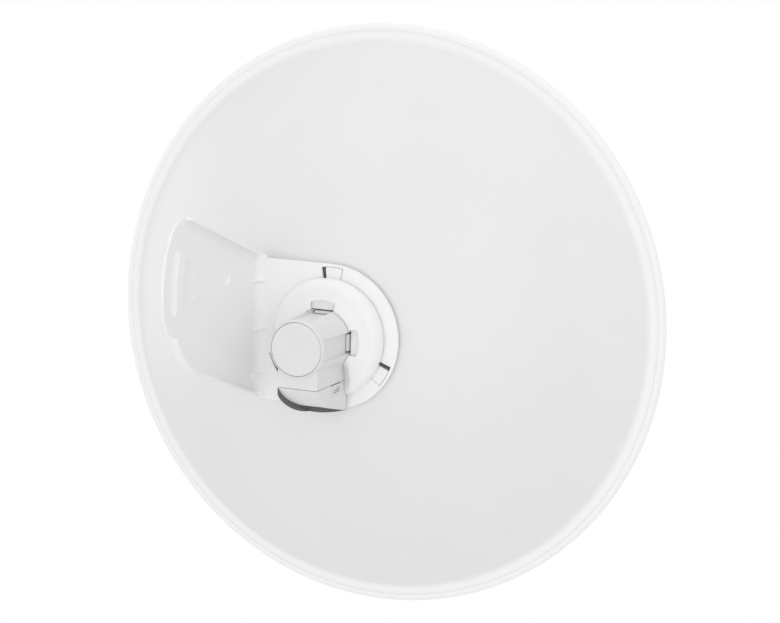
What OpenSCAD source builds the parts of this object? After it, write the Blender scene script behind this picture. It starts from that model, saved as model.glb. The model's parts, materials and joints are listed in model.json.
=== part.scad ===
// Outdoor wireless bridge: dish antenna with a rear radio housing and a folded mounting bracket.
// Row frame: +X to the right as seen from behind, +Y along the beam, +Z up.
// The origin is the centre of the bracket's pivot hole, in the middle of the sheet.
// Most modules are drawn in the dish frame: x right, y up, z towards the back, zero at the rim plane.

/* [Reflector] */
// Outer radius of the rim
dish_r = 260; // [240:1:280]
// Height of the bowl's apex behind the rim plane, before the hub is flattened
dish_depth = 117.49; // [116:0.01:119]
// Thickness of the bowl's sheet
dish_sheet = 2; // [1.5:0.1:2.2]
// Radius of the flat land that the hub sits on
land_r = 52; // [51:0.5:54]
// Radius of the bowl's centre hole
hub_hole_r = 30; // [29.6:0.1:30.4]

/* [Bracket] */
// Thickness of the bracket's sheet
sheet = 2.5; // [2:0.1:2.5]
// Distance from the dish axis to the flange's inner face
flange_x = 68.6; // [66:0.2:72]
// Radius of the ring plate
ring_r = 61.8; // [61.2:0.1:64]
// Distance of the pivot hole behind the rim plane
pivot_back = 172.3; // [168:0.1:176]
// Height of the pivot hole above the dish axis
pivot_up = 50.5; // [48:0.1:52]
// Radius of the pivot hole and half the width of the arc slot
bolt_r = 4.5; // [4:0.1:4.6]
// Radius of the arc slot's centre line about the pivot
slot_arc_r = 94; // [92:0.5:96]
// Lowest tilt that the arc slot allows
tilt_low = -7.5; // [-9:0.5:-5]
// Highest tilt that the arc slot allows
tilt_high = 19; // [15:0.5:20]
// Height of the stiffening lips
lip_h = 5; // [4:0.5:8]

/* [Hub] */
// Radius of the collar's foot
foot_r = 50.7; // [50.4:0.1:51]
// Radius of the collar's neck, which turns in the bracket plate
neck_r = 47.9; // [47.5:0.1:48]
// Height of the collar's shoulder above its foot
shoulder_h = 10.3; // [9:0.1:11]
// Free play of the bayonet, in degrees
bayonet_play = 3.9; // [3.7:0.1:5]

/* [Radio housing] */
// Radius of the tube where it meets the collar
tube_root_r = 27.1; // [26.9:0.1:27.2]
// Radius of the tube at its rear rim
tube_rim_r = 24.3; // [24.1:0.1:24.6]
// Distance of the tube's rear rim behind the rim plane
tube_back = 183.2; // [182.5:0.1:184]
// Half the width of the box below the tube
box_half = 17.7; // [17.2:0.1:17.8]
// Distance of the box's rear face behind the rim plane
box_back = 179.2; // [178.8:0.1:181]
// Depth of the seam below the dish axis
seam_drop = 33.8; // [33.5:0.1:34]
// Depth of the cable cover's lowest edge below the dish axis
cover_drop = 60; // [59:0.5:61]
// Roundness of the cable cover's underside: 1 is a straight line and 2 an ellipse
cover_power = 1.41; // [1.3:0.01:1.6]

/* [Feed] */
// Outer radius of the feed tube
feed_r = 23; // [22.8:0.1:23.1]
// Outer radius of the feed's head
head_r = 30; // [28.5:0.5:32]
// Distance of the feed's tip in front of the rim plane
tip_front = 58; // [56:1:64]

/* [Clearances] */
// Gap between bodies that move
gap = 0.3; // [0.2:0.05:0.3]

/* [Hidden] */
$fn = 96;
far = 400;
cut = 0.5;

// Colours
c_paint = [0.93, 0.93, 0.93];
c_shell = [0.91, 0.91, 0.91];
c_rubber = [0.28, 0.28, 0.29];
c_board = [0.08, 0.32, 0.18];
c_tin = [0.75, 0.76, 0.77];
c_gold = [0.85, 0.68, 0.3];
c_steel = [0.62, 0.63, 0.65];
c_lens = [0.85, 0.9, 0.95];

// Reflector
focal = 130.75;
bowl_edge_r = dish_r - 13;
ring_out_r = dish_r - 7;
bowl_steps = 28;
lip_top = 3;
lip_bottom = -2.5;
ring_top = bowl_height(bowl_edge_r);

// Stack at the hub, measured behind the rim plane
land_z = bowl_height(land_r);
washer_t = 0.4;
washer_top = land_z + washer_t;
plate_low = washer_top + gap;
plate_top = plate_low + sheet;
foot_z = plate_top + gap;
shoulder_z = foot_z + 4.4;
foot_taper = 1.3;
dome_ridge_z = shoulder_z + shoulder_h;
dome_top_z = dome_ridge_z + 3.1;
shoulder_w = 9.7;
shell_t = 2.4;
dome_hole_r = tube_root_r - 0.2;
hub_plate_t = 2.5;
hub_plate_top = washer_top + hub_plate_t;

// Bayonet windows: start angle of each, seen from behind, anticlockwise from the right
window_starts = [80.2, -38.9, 199];
window_span = 19;
window_outer_r = 59.5;
lug_count = 2;
lug_side_gap = 0.4;

// Screws round the hub
screw_ring_r = 38;
screw_count = 4;
screw_r = 1.95;
screw_hole_r = 2.25;
screw_head_r = 3.6;
screw_head_t = 2.2;
boss_r = 4.5;
pilot_r = 1.95;

// Bracket outline, in distance behind the rim plane and height
slope = 18.9;
flange_top_y = 64.3;
flange_low_y = -59.7;
ring_top_y = 62;
outer_r = 111;
heel_r = 75;
heel_c = [202.6, 49.9];
heel_end = -28;
heel_steps = 8;
notch = [275.8, 21.7];
brow_r = 22;
brow_c = [252, 86.5];
brow_start = 14;
relief_w = 9;
relief_h = 6;

// Rear housing
bore_r = 19.5;
wall = 2;
spigot_r = feed_r + 0.3;
spigot_z = hub_plate_top + 5.3;
foot_flange_r = 33;
foot_flange_top = hub_plate_top + 7.1;
cap_r = 22.3;
cap_seat_z = tube_back - 2.6;
rim_ease = 1.8;
channel_half = 9;
channel_floor = 21.8;
channel_end = tube_back - 4.2;
pocket_half = 10.5;
pocket_out = 33.3;
ledge_half = 8.7;
ledge_in = 25.5;
latch_angles = [0, 90, 180];
box_start = foot_z + 2.3;
keyhole_half = box_half + 0.3;

// Port bay under the tube
bay_top_y = -24;
bay_t = 2;
jack_z = 144;
jack_w = 16;
jack_top_y = -4;
jack_len = 22.2;
plug_w = 11.8;
plug_h = 8;
plug_depth = 12;
reset_z = 163;
reset_x = 6;
light_x = -6;
light_r = 1.4;
reset_r = 1.5;

// Cable cover
cover_top_y = -seam_drop - gap;
cover_start = box_start - 0.3;
cover_len = box_back - cover_start;
cover_h = cover_drop - seam_drop - gap;
cover_steps = 20;
cable_z = 131;
cable_hole_r = 5.5;
cable_r = 3.2;
boss_top_y = -51.6;
boss_low_y = -54.6;
lip_drop = 5.2;
lip_t = 1.3;
lip_arc_r = 87;
lip_arc_x = -11.5;

// Release buttons
button_z = 140.25;
button_len = 18.4;
button_top_y = -34.7;
button_h = 9.3;
button_proud = 0.7;
button_flange_t = 1.2;
spring_r = 2.6;
spring_wire = 0.35;
spring_turns = 5;
spring_seat_x = 10;
spring_y = -40;

// Board and feed
board_top_y = -2.4;
board_t = 1.6;
board_half = 17;
board_start = -12;
board_end = 168;
head_back = -14;
head_len = 36;
board_screw_z = 8;
board_screw_x = 14.9;
dipole_z = -24;
sub_z = -46;
spacer_count = 3;
spacer_ring_r = 18;

function bowl_height(r) = dish_depth - r * r / (4 * focal);
function arc_points(c, r, from, to, n) = [for (i = [0:n]) c + r * [cos(from + (to - from) * i / n),
    sin(from + (to - from) * i / n)]];
function cover_curve(len, h) = [for (i = [0:cover_steps]) let (t = 90 * i / cover_steps)
    [cover_start + len * pow(cos(t), 2 / cover_power), cover_top_y - h * pow(sin(t), 2 / cover_power)]];

// Places a shape drawn in the dish frame into the row frame
module dish_frame() {
    translate([flange_x + sheet / 2, pivot_back, -pivot_up]) rotate([90, 0, 0]) children();
}

// Extrudes an outline of [distance behind the rim plane, height] from x0 to x1
module side_slab(x0, x1, outline) {
    translate([x0, 0, 0]) rotate([0, 90, 0]) linear_extrude(x1 - x0)
        polygon([for (p = outline) [-p[0], p[1]]]);
}

module block(low, high) {
    translate(low) cube(high - low);
}

module disc(r, z0, z1) {
    translate([0, 0, z0]) cylinder(r = r, h = z1 - z0);
}

module ring(r_in, r_out, z0, z1) {
    difference() {
        disc(r_out, z0, z1);
        disc(r_in, z0 - cut, z1 + cut);
    }
}

// Wedge about the dish axis, from one angle to another
module wedge(from, span, z0, z1) {
    steps = 4;
    translate([0, 0, z0]) linear_extrude(z1 - z0)
        polygon(concat([[0, 0]], arc_points([0, 0], 2 * ring_r, from, from + span, steps)));
}

module at_screws() {
    for (i = [0:screw_count - 1]) rotate([0, 0, 45 + 360 * i / screw_count])
        translate([screw_ring_r, 0, 0]) children();
}

module at_latches() {
    for (a = latch_angles) rotate([0, 0, a]) children();
}

// Pressed bowl with a flat land at the hub, and a flat ring and a lip at the rim
module reflector() {
    back = [for (i = [0:bowl_steps]) let (r = land_r + (bowl_edge_r - land_r) * i / bowl_steps)
        [r, bowl_height(r)]];
    front = [for (i = [bowl_steps:-1:0]) let (r = land_r + (bowl_edge_r - land_r) * i / bowl_steps)
        [r, bowl_height(r) - dish_sheet]];
    rim = [[ring_out_r, ring_top], [ring_out_r + 0.8, lip_top], [dish_r - 1.6, lip_top],
        [dish_r, lip_top - 1.8], [dish_r, lip_bottom + 1.5], [dish_r - 1.5, lip_bottom],
        [ring_out_r + 0.4, lip_bottom], [ring_out_r, ring_top - dish_sheet]];
    hub = [[hub_hole_r, land_z - dish_sheet], [hub_hole_r, land_z]];
    color(c_paint) dish_frame() difference() {
        rotate_extrude($fn = 180) polygon(concat(hub, back, rim, front));
        at_screws() disc(screw_hole_r, land_z - 3 * dish_sheet, land_z + cut);
    }
}

module bracket_flange() {
    outline = concat([[plate_low, flange_low_y]],
        arc_points(heel_c, heel_r, slope - 90, heel_end, heel_steps),
        [notch],
        arc_points([pivot_back, pivot_up], outer_r, -9, 18, 8),
        arc_points(brow_c, brow_r, brow_start, 90 + slope, 6),
        [[plate_low, flange_top_y]]);
    side_slab(-flange_x - sheet, -flange_x, outline);
}

module at_pivot() {
    translate([-flange_x - sheet - cut, pivot_up, pivot_back]) rotate([0, 90, 0]) children();
}

// Outline of an arc slot about the pivot, with round ends
function slot_outline(half) = let (pivot = [pivot_back, pivot_up], n = 10, turn = 180 / 8,
    high_end = pivot + slot_arc_r * [cos(tilt_high), sin(tilt_high)],
    low_end = pivot + slot_arc_r * [cos(tilt_low), sin(tilt_low)])
    concat(arc_points(pivot, slot_arc_r + half, tilt_low, tilt_high, n),
        arc_points(high_end, half, tilt_high + turn, tilt_high + 180 - turn, 6),
        arc_points(pivot, slot_arc_r - half, tilt_high, tilt_low, n),
        arc_points(low_end, half, tilt_low + 180 + turn, tilt_low + 360 - turn, 6));

// Lip along a straight edge of the flange; the edge starts at the fold at height y0
module edge_lip(y0, length, below) {
    translate([-flange_x - cut / 2, y0, plate_low]) rotate([-slope, 0, 0])
        translate([0, below ? 0 : -sheet, sheet + relief_h / 2]) cube([lip_h + cut / 2, sheet, length]);
}

// Lip round the heel, from the lower edge to the notch
module heel_lip() {
    side_slab(-flange_x - cut / 2, -flange_x + lip_h,
        concat(arc_points(heel_c, heel_r, slope - 90, heel_end, heel_steps),
            arc_points(heel_c, heel_r - sheet, heel_end, slope - 90, heel_steps)));
}

// Folded bracket: ring plate on the hub, flange with pivot hole and arc slot
module mount_bracket() {
    heel_run = (heel_c[0] + heel_r * sin(slope) - plate_low) / cos(slope);
    brow_run = (brow_c[0] - brow_r * sin(slope) - plate_low) / cos(slope);
    color(c_paint) dish_frame() difference() {
        union() {
            disc(ring_r, plate_low, plate_top);
            block([-flange_x - sheet, flange_low_y, plate_low], [0, ring_top_y, plate_top]);
            bracket_flange();
            edge_lip(flange_top_y, brow_run - sheet - 1, false);
            edge_lip(flange_low_y, heel_run - sheet - relief_h / 2, true);
            heel_lip();
        }
        disc(neck_r + gap, plate_low - cut, plate_top + cut);
        for (a = window_starts) intersection() {
            disc(window_outer_r, plate_low - cut, plate_top + cut);
            wedge(a, window_span, plate_low - cut, plate_top + cut);
        }
        at_pivot() cylinder(r = bolt_r, h = sheet + 2 * cut);
        side_slab(-flange_x - sheet - cut, -flange_x + cut, slot_outline(bolt_r));
        block([-flange_x - sheet - cut, flange_low_y - cut, plate_low - cut],
            [-flange_x + relief_w, flange_low_y + relief_h, plate_top + relief_h / 2]);
    }
}

// Outline of the collar's domed shell
module dome_profile() {
    arc_n = 8;
    outer_arc = [for (i = [0:arc_n]) let (t = 90 * i / arc_n)
        [foot_r - shoulder_w + shoulder_w * cos(t), shoulder_z + shoulder_h * sin(t)]];
    inner_w = shoulder_w - shell_t;
    inner_arc = [for (i = [arc_n:-1:0]) let (t = 90 * i / arc_n)
        [foot_r - shoulder_w + (inner_w - shell_t) * cos(t), shoulder_z + (shoulder_h - shell_t) * sin(t)]];
    polygon(concat([[neck_r - shell_t, washer_top], [neck_r, washer_top], [neck_r, foot_z],
            [foot_r - foot_taper, foot_z]],
        outer_arc, [[dome_hole_r, dome_top_z], [dome_hole_r, dome_top_z - shell_t]], inner_arc));
}

// Domed collar that joins the bowl to the bracket by a bayonet
module hub_collar() {
    lug_span = window_span - lug_side_gap - bayonet_play;
    pocket_floor = dome_top_z - 3.3;
    color(c_shell) dish_frame() difference() {
        union() {
            rotate_extrude() dome_profile();
            intersection() {
                ring(neck_r - shell_t, window_outer_r - gap, washer_top, foot_z + gap / 2);
                union() for (i = [0:lug_count - 1])
                    wedge(window_starts[i] + lug_side_gap, lug_span, washer_top, foot_z + gap);
            }
            at_screws() disc(boss_r, hub_plate_top, dome_ridge_z - 0.8);
            at_latches() block([ledge_in, -pocket_half - 1.5, pocket_floor - 2.2],
                [pocket_out + 1.5, pocket_half + 1.5, pocket_floor + 0.4]);
        }
        at_latches() intersection() {
            block([channel_floor, -pocket_half, pocket_floor], [far, pocket_half, dome_top_z + cut]);
            disc(pocket_out, pocket_floor - cut, dome_top_z + 2 * cut);
        }
        difference() {
            disc(dome_hole_r, foot_flange_top, dome_top_z + cut);
            at_latches() block([ledge_in, -ledge_half, pocket_floor - 2.2], [far, ledge_half, pocket_floor]);
        }
        block([-keyhole_half, -far, foot_z], [keyhole_half, 0, dome_top_z + cut]);
        at_screws() disc(pilot_r, hub_plate_top - cut, dome_ridge_z - 3.5);
    }
}

// Rubber washer between the bowl and the bracket plate
module hub_washer() {
    color(c_rubber) dish_frame() difference() {
        ring(hub_hole_r + 1.5, ring_r - 1, land_z, washer_top);
        at_screws() disc(screw_hole_r, land_z - cut, washer_top + cut);
    }
}

// Ring that closes the collar against the bowl
module hub_plate() {
    color(c_shell) dish_frame() difference() {
        ring(hub_hole_r - 0.5, neck_r - shell_t - gap, washer_top, hub_plate_top);
        at_screws() disc(screw_hole_r, washer_top - cut, hub_plate_top + cut);
    }
}

// Ring on the bowl's front face, with a sleeve that steadies the feed tube
module front_bezel() {
    front_z = land_z - dish_sheet;
    ring_t = 3.8;
    sleeve_len = 14;
    sleeve_t = 2.6;
    color(c_shell) dish_frame() difference() {
        union() {
            disc(land_r - 4, front_z - ring_t, front_z);
            disc(feed_r + 0.3 + sleeve_t, front_z - sleeve_len, front_z - ring_t + cut);
        }
        disc(feed_r + 0.3, front_z - sleeve_len - cut, front_z + cut);
        at_screws() disc(screw_hole_r, front_z - ring_t - cut, front_z + cut);
        at_screws() disc(screw_head_r + 0.4, front_z - ring_t - cut, front_z - ring_t + screw_head_t);
    }
}

// Screws through bezel, bowl, washer and plate into the collar's bosses
module hub_screws() {
    head_z = land_z - dish_sheet - 3.8;
    tip_z = dome_ridge_z - 4.2;
    color(c_steel) dish_frame() at_screws() difference() {
        union() {
            disc(screw_head_r, head_z, head_z + screw_head_t);
            disc(screw_r, head_z + screw_head_t - cut, tip_z);
        }
        translate([0, 0, head_z - cut]) cylinder(r = 1.8, h = 1.6 + cut, $fn = 6);
    }
}

// C-shaped ring with three tongues that hold the radio housing
module latch_ring() {
    base_z = foot_flange_top;
    base_t = 2;
    ring_in = tube_root_r + 0.8;
    tongue_half = 7;
    tongue_in = channel_floor + 0.6;
    tongue_t = 2;
    color(c_shell) dish_frame() difference() {
        union() {
            ring(ring_in, foot_flange_r - 0.2, base_z, base_z + base_t);
            at_latches() block([tongue_in, -tongue_half, base_z], [ring_in + 1, tongue_half, base_z + base_t]);
            at_latches() block([tongue_in, -tongue_half, base_z],
                [tongue_in + tongue_t, tongue_half, dome_top_z - 1]);
        }
        block([-keyhole_half, -far, base_z - cut], [keyhole_half, 0, base_z + base_t + cut]);
    }
}

// Tube with a square box below it, moulded in one piece
module rear_housing() {
    inner_half = box_half - wall;
    color(c_shell) dish_frame() difference() {
        union() {
            disc(foot_flange_r, hub_plate_top, foot_flange_top);
            translate([0, 0, foot_flange_top - cut])
                cylinder(r1 = tube_root_r, r2 = tube_rim_r, h = tube_back - foot_flange_top + cut - rim_ease);
            translate([0, 0, tube_back - rim_ease])
                cylinder(r1 = tube_rim_r, r2 = tube_rim_r - 1.4, h = rim_ease);
            block([-box_half, -seam_drop, box_start], [box_half, 0, box_back]);
        }
        disc(spigot_r, hub_plate_top - cut, spigot_z);
        disc(bore_r, spigot_z - cut, cap_seat_z + cut);
        disc(cap_r + 0.2, cap_seat_z, tube_back + cut);
        block([-inner_half, -seam_drop - cut, box_start + wall],
            [inner_half, bay_top_y - bay_t, box_back - wall]);
        block([-inner_half, bay_top_y, box_start + wall], [inner_half, -bore_r / 2, box_back - wall]);
        block([-jack_w / 2 - gap, bay_top_y - bay_t - cut, jack_z - jack_w / 2 - gap],
            [jack_w / 2 + gap, bay_top_y + cut, jack_z + jack_w / 2 + gap]);
        translate([reset_x, bay_top_y + cut, reset_z]) rotate([90, 0, 0])
            cylinder(r = reset_r + gap, h = bay_t + 2 * cut);
        translate([light_x, bay_top_y + cut, reset_z]) rotate([90, 0, 0])
            cylinder(r = light_r + 0.1, h = bay_t + 2 * cut);
        at_latches() block([channel_floor, -channel_half, foot_flange_top],
            [far, channel_half, channel_end]);
    }
}

// Plain disc that closes the tube
module rear_cap() {
    color(c_shell) dish_frame() union() {
        disc(cap_r, cap_seat_z + 0.6, tube_back - 0.2);
        disc(cap_r - 1, tube_back - 0.3, tube_back);
    }
}

module cap_gasket() {
    color(c_rubber) dish_frame() ring(bore_r + 0.7, cap_r, cap_seat_z, cap_seat_z + 0.6);
}

// Sliding cover of the cable bay
module cable_door() {
    outer = concat([[cover_start, cover_top_y]], cover_curve(cover_len, cover_h));
    inner = concat([[cover_start + wall, cover_top_y + cut], [box_back - wall, cover_top_y + cut]],
        [for (p = cover_curve(cover_len - wall, cover_h - wall)) if (p[0] > cover_start + wall) p],
        [[cover_start + wall, cover_top_y - cover_h + wall]]);
    inner_half = box_half - wall;
    seat_t = 1.5;
    color(c_shell) dish_frame() difference() {
        union() {
            difference() {
                side_slab(-box_half, box_half, outer);
                side_slab(-inner_half, inner_half, inner);
            }
            for (s = [-1, 1]) block([min(s * spring_seat_x, s * (spring_seat_x - seat_t)), -54, button_z - 6.2],
                [max(s * spring_seat_x, s * (spring_seat_x - seat_t)), -36, button_z + 6.2]);
            intersection() {
                side_slab(-inner_half, inner_half, outer);
                translate([0, boss_top_y, cable_z]) rotate([90, 0, 0])
                    cylinder(r = cable_hole_r + 3, h = cover_drop - 1 + boss_top_y);
            }
            for (s = [-1, 1]) block([s > 0 ? inner_half - 1.5 : -inner_half + gap, cover_top_y - 4, 160],
                [s > 0 ? inner_half - gap : -inner_half + 1.5, cover_top_y + 6, 174]);
            for (s = [-1, 1]) block([s > 0 ? inner_half - 1.5 : -inner_half - cut, cover_top_y - 5, 160],
                [s > 0 ? inner_half + cut : -inner_half + 1.5, cover_top_y - 1, 174]);
        }
        for (s = [-1, 1]) block([s > 0 ? inner_half - cut : -box_half - cut,
                button_top_y - button_h - gap, button_z - button_len / 2 - gap],
            [s > 0 ? box_half + cut : -inner_half + cut, cover_top_y + cut, button_z + button_len / 2 + gap]);
        translate([0, boss_top_y + cut, cable_z]) rotate([90, 0, 0]) cylinder(r = cable_hole_r, h = 8);
        translate([0, boss_low_y, cable_z]) rotate([90, 0, 0]) cylinder(r = cable_hole_r + 1.7, h = 8);
    }
}

// Rubber bush that seals round the data cable
module cable_grommet() {
    top_y = boss_top_y + 1.3;
    low_y = boss_low_y - 1.4;
    color(c_rubber) dish_frame() translate([0, 0, cable_z]) rotate([90, 0, 0]) difference() {
        union() {
            translate([0, 0, -top_y]) cylinder(r = cable_hole_r + 1.6, h = top_y - boss_top_y);
            translate([0, 0, -top_y]) cylinder(r = cable_hole_r - 0.1, h = top_y - low_y);
            translate([0, 0, -boss_low_y]) cylinder(r = cable_hole_r + 1.4, h = boss_low_y - low_y);
        }
        translate([0, 0, -top_y - cut]) cylinder(r = cable_r, h = top_y - low_y + 2 * cut);
    }
}

// Rubber lip along the cover's left and front lower edges, deepest on the left
module drip_lip() {
    edge = cover_curve(cover_len, cover_h);
    dropped = [for (i = [len(edge) - 1:-1:0]) edge[i] - [0, lip_drop]];
    color(c_rubber) dish_frame() union() {
        side_slab(-box_half, -box_half + lip_t, concat(edge, dropped));
        intersection() {
            block([-box_half, -cover_drop - lip_drop, cover_start],
                [box_half, -cover_drop, cover_start + lip_t]);
            translate([lip_arc_x, lip_arc_r - cover_drop - lip_drop, 0])
                disc(lip_arc_r, cover_start - cut, cover_start + lip_t + cut);
        }
    }
}

// Press pad in the cover's side wall; side is 1 on the right and -1 on the left
module release_button(side) {
    pad_x0 = box_half - wall - gap - button_flange_t;
    rib_count = 4;
    rib_pitch = 1.6;
    mirror([side > 0 ? 0 : 1, 0, 0]) union() {
        block([pad_x0, button_top_y - button_h, button_z - button_len / 2],
            [box_half + button_proud - 0.3, button_top_y, button_z + button_len / 2]);
        block([pad_x0, button_top_y - button_h - 1.5, button_z - button_len / 2 - 1.5],
            [pad_x0 + button_flange_t, button_top_y - 1, button_z + button_len / 2 + 1.5]);
        for (i = [0:rib_count - 1])
            block([box_half, button_top_y - 2.6 - i * rib_pitch, button_z - 6],
                [box_half + button_proud, button_top_y - 1.8 - i * rib_pitch, button_z + 6]);
    }
}

module release_button_left() {
    color(c_shell) dish_frame() release_button(-1);
}

module release_button_right() {
    color(c_shell) dish_frame() release_button(1);
}

// Turns of the coil spring behind a button, side by side
module button_spring(side) {
    first = spring_seat_x + spring_wire;
    last = box_half - wall - gap - button_flange_t - spring_wire;
    for (i = [0:spring_turns - 1])
        translate([side * (first + (last - first) * i / (spring_turns - 1)), spring_y, button_z])
            rotate([0, 90, 0]) rotate_extrude($fn = 48) translate([spring_r, 0])
                circle(r = spring_wire, $fn = 16);
}

module button_spring_left() {
    color(c_steel) dish_frame() button_spring(-1);
}

module button_spring_right() {
    color(c_steel) dish_frame() button_spring(1);
}

module main_board() {
    color(c_board) dish_frame() difference() {
        block([-board_half, board_top_y - board_t, board_start], [board_half, board_top_y, board_end]);
        for (s = [-1, 1]) translate([s * board_screw_x, board_top_y + cut, board_screw_z])
            rotate([90, 0, 0]) cylinder(r = 1.1, h = board_t + 2 * cut);
    }
}

// Pressed can over a part of the board: open on the side that faces the board
module shield_can(half, y_board, y_top, z0, z1) {
    t = 0.3;
    low = min(y_board, y_top);
    high = max(y_board, y_top);
    up = y_top > y_board;
    difference() {
        block([-half, low, z0], [half, high, z1]);
        block([-half + t, up ? low - cut : low + t, z0 + t], [half - t, up ? high - t : high + cut, z1 - t]);
    }
}

module shield_rear() {
    color(c_tin) dish_frame() shield_can(13, board_top_y, board_top_y + 4, 122, 158);
}

module shield_front() {
    color(c_tin) dish_frame() shield_can(12, board_top_y - board_t, board_top_y - board_t - 3.5, 22, 100);
}

// Aluminium block with fins that takes the heat off the board
module heat_spreader() {
    fin_count = 5;
    color(c_steel) dish_frame() union() {
        block([-12, board_top_y, 30], [12, board_top_y + 3, 112]);
        for (i = [0:fin_count - 1]) let (x = -11 + 20.5 * i / (fin_count - 1))
            block([x, board_top_y + 3 - cut, 32], [x + 1.5, board_top_y + 11, 110]);
    }
}

// Tinned shell of the data socket, mouth downwards
module port_shell() {
    t = 0.4;
    half = jack_w / 2;
    low_y = jack_top_y - jack_len;
    color(c_tin) dish_frame() difference() {
        block([-half, low_y, jack_z - half], [half, jack_top_y, jack_z + half]);
        block([-half + t, low_y - cut, jack_z - half + t], [half - t, jack_top_y - t, jack_z + half - t]);
    }
}

// Plastic insert of the socket, with the plug's opening and its catch slot
module port_insert() {
    half = jack_w / 2 - 0.4;
    low_y = jack_top_y - jack_len + 0.2;
    color([0.12, 0.12, 0.13]) dish_frame() difference() {
        block([-half, low_y, jack_z - half], [half, jack_top_y - 0.4, jack_z + half]);
        block([-plug_w / 2, low_y - cut, jack_z - plug_h / 2],
            [plug_w / 2, low_y + plug_depth, jack_z + plug_h / 2]);
        block([-3.2, low_y - cut, jack_z + plug_h / 2 - cut], [3.2, low_y + plug_depth, jack_z + half - 1]);
    }
}

// Eight spring contacts on the back wall of the plug's opening
module port_contacts() {
    count = 8;
    pitch = 1.02;
    low_y = jack_top_y - jack_len + 2;
    color(c_gold) dish_frame() for (i = [0:count - 1]) let (x = (i - (count - 1) / 2) * pitch)
        block([x - 0.2, low_y, jack_z - plug_h / 2], [x + 0.2, low_y + 9, jack_z - plug_h / 2 + 0.6]);
}

// Foam frame that seals the socket to the bay
module port_gasket() {
    half = jack_w / 2;
    color(c_rubber) dish_frame() difference() {
        block([-half - 1.6, bay_top_y, jack_z - half - 1.6],
            [half + 1.6, bay_top_y + 1.5, jack_z + half + 1.6]);
        block([-half, bay_top_y - cut, jack_z - half], [half, bay_top_y + 2, jack_z + half]);
    }
}

module reset_button() {
    head_y = bay_top_y - bay_t - 1.6;
    top_y = -9.4;
    color(c_rubber) dish_frame() translate([reset_x, 0, reset_z]) rotate([90, 0, 0]) union() {
        translate([0, 0, -top_y]) cylinder(r = reset_r, h = top_y - head_y);
        translate([0, 0, -head_y - cut]) cylinder(r = reset_r + 1, h = 1.2 + cut);
    }
}

module reset_switch() {
    low_y = board_top_y - board_t;
    color([0.15, 0.15, 0.16]) dish_frame() union() {
        block([reset_x - 3, low_y - 3.4, reset_z - 3], [reset_x + 3, low_y, reset_z + 3]);
        translate([reset_x, low_y - 3, reset_z]) rotate([90, 0, 0]) cylinder(r = 1.6, h = 1.1);
    }
}

// Clear guide that carries the status light to the bay
module light_pipe() {
    low_y = board_top_y - board_t;
    color(c_lens) dish_frame() union() {
        translate([light_x, low_y, reset_z]) rotate([90, 0, 0])
            cylinder(r = light_r, h = low_y - bay_top_y + bay_t + 0.4);
        block([light_x - 2.4, low_y - 2, reset_z - 2.4], [light_x + 2.4, low_y, reset_z + 2.4]);
    }
}

// Tube that carries the radiator, with ledges inside for the board
module feed_tube() {
    tube_in = feed_r - wall;
    groove_z = spigot_z - 3;
    ledge_top = board_top_y - board_t;
    color(c_shell) dish_frame() difference() {
        union() {
            ring(tube_in, feed_r, head_back, spigot_z - 0.3);
            ring(tube_in, head_r - 0.2, head_back - 2, head_back + 1.5);
            for (s = [-1, 1]) intersection() {
                disc(tube_in + cut, head_back + 4, hub_plate_top - 6);
                block([s > 0 ? 13.4 : -far, ledge_top - 3.5, head_back + 4],
                    [s > 0 ? far : -13.4, ledge_top, far]);
            }
        }
        difference() {
            disc(feed_r + 1, groove_z, groove_z + 1.5);
            disc(feed_r - 1.1, groove_z - cut, groove_z + 1.5 + cut);
        }
        for (s = [-1, 1]) translate([s * board_screw_x, ledge_top + cut, board_screw_z])
            rotate([90, 0, 0]) cylinder(r = 0.9, h = 3 + cut);
    }
}

// Domed cap over the radiator
module feed_radome() {
    face_z = head_back - 2;
    side_end = face_z - head_len;
    dome_h = tip_front + side_end;
    steps = 10;
    outer = [for (i = [0:steps]) let (t = 90 * i / steps) [head_r * cos(t), side_end - dome_h * sin(t)]];
    inner = [for (i = [steps:-1:0]) let (t = 90 * i / steps)
        [(head_r - wall) * cos(t), side_end - (dome_h - wall) * sin(t)]];
    color(c_shell) dish_frame() rotate_extrude()
        polygon(concat([[head_r, face_z]], outer, inner, [[head_r - wall, face_z]]));
}

// Round board with the crossed radiators
module dipole_board() {
    color(c_board) dish_frame() union() {
        disc(24, dipole_z - 0.8, dipole_z + 0.8);
        for (a = [0, 90]) rotate([0, 0, a]) block([-11, -0.4, dipole_z - 9], [11, 0.4, dipole_z]);
    }
}

// Splash plate that throws the signal back into the bowl
module sub_reflector() {
    color(c_tin) dish_frame() union() {
        disc(27, sub_z - 0.8, sub_z);
        translate([0, 0, sub_z - cut]) cylinder(r1 = 9, r2 = 2, h = 3 + cut);
    }
}

module feed_spacers() {
    color(c_shell) dish_frame() for (i = [0:spacer_count - 1]) rotate([0, 0, 60 + 360 * i / spacer_count])
        translate([spacer_ring_r, 0, 0]) disc(1.8, sub_z, dipole_z - 0.8);
}

module feed_oring() {
    cord_r = 0.65;
    color(c_rubber) dish_frame() translate([0, 0, spigot_z - 3 + 0.75])
        rotate_extrude() translate([spigot_r - cord_r - 0.05, 0]) circle(r = cord_r, $fn = 24);
}

module board_screws() {
    color(c_steel) dish_frame() for (s = [-1, 1])
        translate([s * board_screw_x, board_top_y, board_screw_z]) rotate([90, 0, 0]) union() {
            translate([0, 0, -1.4]) cylinder(r = 1.9, h = 1.4);
            translate([0, 0, -cut]) cylinder(r = 0.9, h = board_t + 2.5 + cut);
        }
}

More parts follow.
